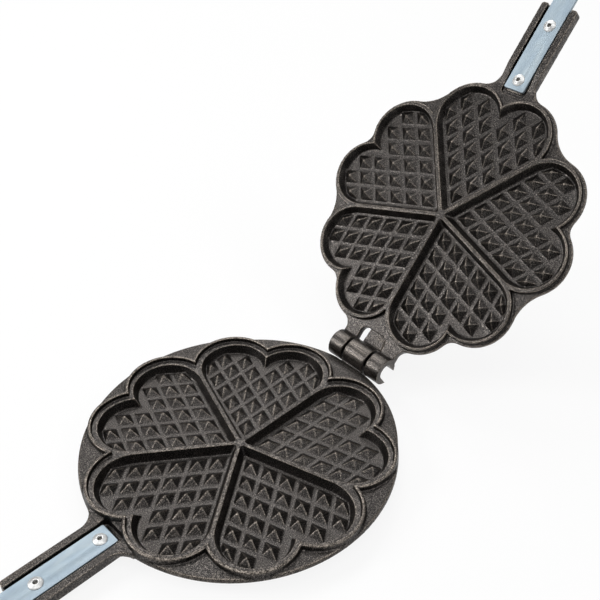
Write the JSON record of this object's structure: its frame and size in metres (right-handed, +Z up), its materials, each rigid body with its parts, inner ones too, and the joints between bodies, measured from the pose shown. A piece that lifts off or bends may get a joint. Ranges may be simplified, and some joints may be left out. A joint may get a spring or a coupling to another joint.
{
  "type": "waffle iron",
  "caption": "Hinged pair of round cast-iron waffle plates with heart-shaped, pyramid-studded moulds and long riveted strip handles, for baking over a flame or stove.",
  "frame": {"origin": "centre of the foot ring's plane under the lower plate", "axes": "+Z up, +X from the lower plate's centre towards the hinge, +Y along the hinge axis"},
  "size_m": [1.2217, 0.205, 0.5606],
  "materials": {
    "cast_iron": "as cast, seasoned",
    "zinc_plated_steel": "bright zinc plating",
    "aluminium_rivet": "drawn, bright",
    "steel_stem": "snapped, dull",
    "beech": "oiled",
    "steel_screw": "zinc plated"
  },
  "bodies": {
    "lower_half": {"lower_plate": "cast_iron", "lower_handle_strip": "zinc_plated_steel", "lower_inner_rivet": "aluminium_rivet", "lower_outer_rivet": "aluminium_rivet", "lower_inner_rivet_stem": "steel_stem", "lower_outer_rivet_stem": "steel_stem", "lower_grip": "beech", "lower_grip_screw_1": "steel_screw", "lower_grip_screw_2": "steel_screw", "lower_grip_screw_3": "steel_screw"},
    "upper_half": {"upper_plate": "cast_iron", "upper_handle_strip": "zinc_plated_steel", "upper_inner_rivet": "aluminium_rivet", "upper_outer_rivet": "aluminium_rivet", "upper_inner_rivet_stem": "steel_stem", "upper_outer_rivet_stem": "steel_stem", "upper_grip": "beech", "upper_grip_screw_1": "steel_screw", "upper_grip_screw_2": "steel_screw", "upper_grip_screw_3": "steel_screw"}
  },
  "joints": [
    {"name": "plate_hinge", "type": "hinge", "parent": "lower_half", "child": "upper_half", "pos_m": [0.1148, 0, 0.01747], "axis": [0, 1, 0], "range_deg": [-132.1, 0]}
  ]
}
